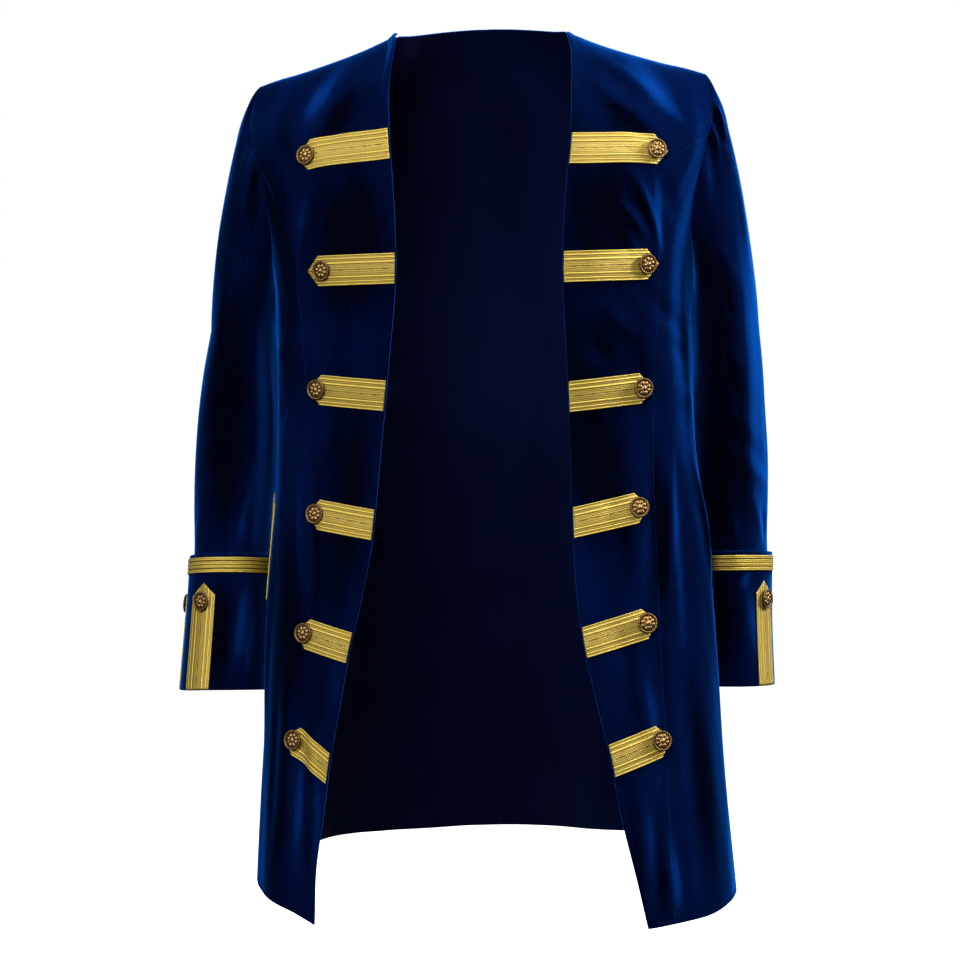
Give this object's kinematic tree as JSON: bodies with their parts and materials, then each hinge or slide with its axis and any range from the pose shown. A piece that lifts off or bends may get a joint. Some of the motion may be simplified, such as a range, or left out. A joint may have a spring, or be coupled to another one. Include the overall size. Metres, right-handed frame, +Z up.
{
  "type": "justaucorps coat",
  "caption": "Collarless full-skirted velvet coat filled out as if worn, open down the front, with braid tabs and buttons on the front edges and deep turned-back cuffs.",
  "frame": {"origin": "middle of the neck opening, level with the points where the neck meets the shoulder seams, where a wearer's neck passes", "axes": "+Z up, the open front faces -Y, the coat's sleeves lie along X"},
  "size_m": [0.6009, 0.3478, 0.8624],
  "materials": {
    "velvet": "royal blue cotton velvet, short pile",
    "braid": "gold metallic ribbed braid",
    "button": "antique gold, cast rosette"
  },
  "bodies": {
    "root": {"front_left": "velvet", "side_front_left": "velvet", "side_back_left": "velvet", "back_left": "velvet", "top_sleeve_left": "velvet", "under_sleeve_left": "velvet", "cuff_left": "velvet", "front_right": "velvet", "side_front_right": "velvet", "side_back_right": "velvet", "back_right": "velvet", "top_sleeve_right": "velvet", "under_sleeve_right": "velvet", "cuff_right": "velvet", "cuff_band_left": "braid", "cuff_band_right": "braid", "front_tab_left_1": "braid", "front_tab_left_2": "braid", "front_tab_left_3": "braid", "front_tab_left_4": "braid", "front_tab_left_5": "braid", "front_tab_left_6": "braid", "front_tab_right_1": "braid", "front_tab_right_2": "braid", "front_tab_right_3": "braid", "front_tab_right_4": "braid", "front_tab_right_5": "braid", "front_tab_right_6": "braid", "cuff_tab_left_1": "braid", "cuff_tab_left_2": "braid", "cuff_tab_right_1": "braid", "cuff_tab_right_2": "braid", "side_tab_left": "braid", "side_tab_right": "braid", "front_button_left_1": "button", "front_button_left_2": "button", "front_button_left_3": "button", "front_button_left_4": "button", "front_button_left_5": "button", "front_button_left_6": "button", "front_button_right_1": "button", "front_button_right_2": "button", "front_button_right_3": "button", "front_button_right_4": "button", "front_button_right_5": "button", "front_button_right_6": "button", "cuff_button_left_1": "button", "cuff_button_left_2": "button", "cuff_button_right_1": "button", "cuff_button_right_2": "button"}
  },
  "joints": []
}
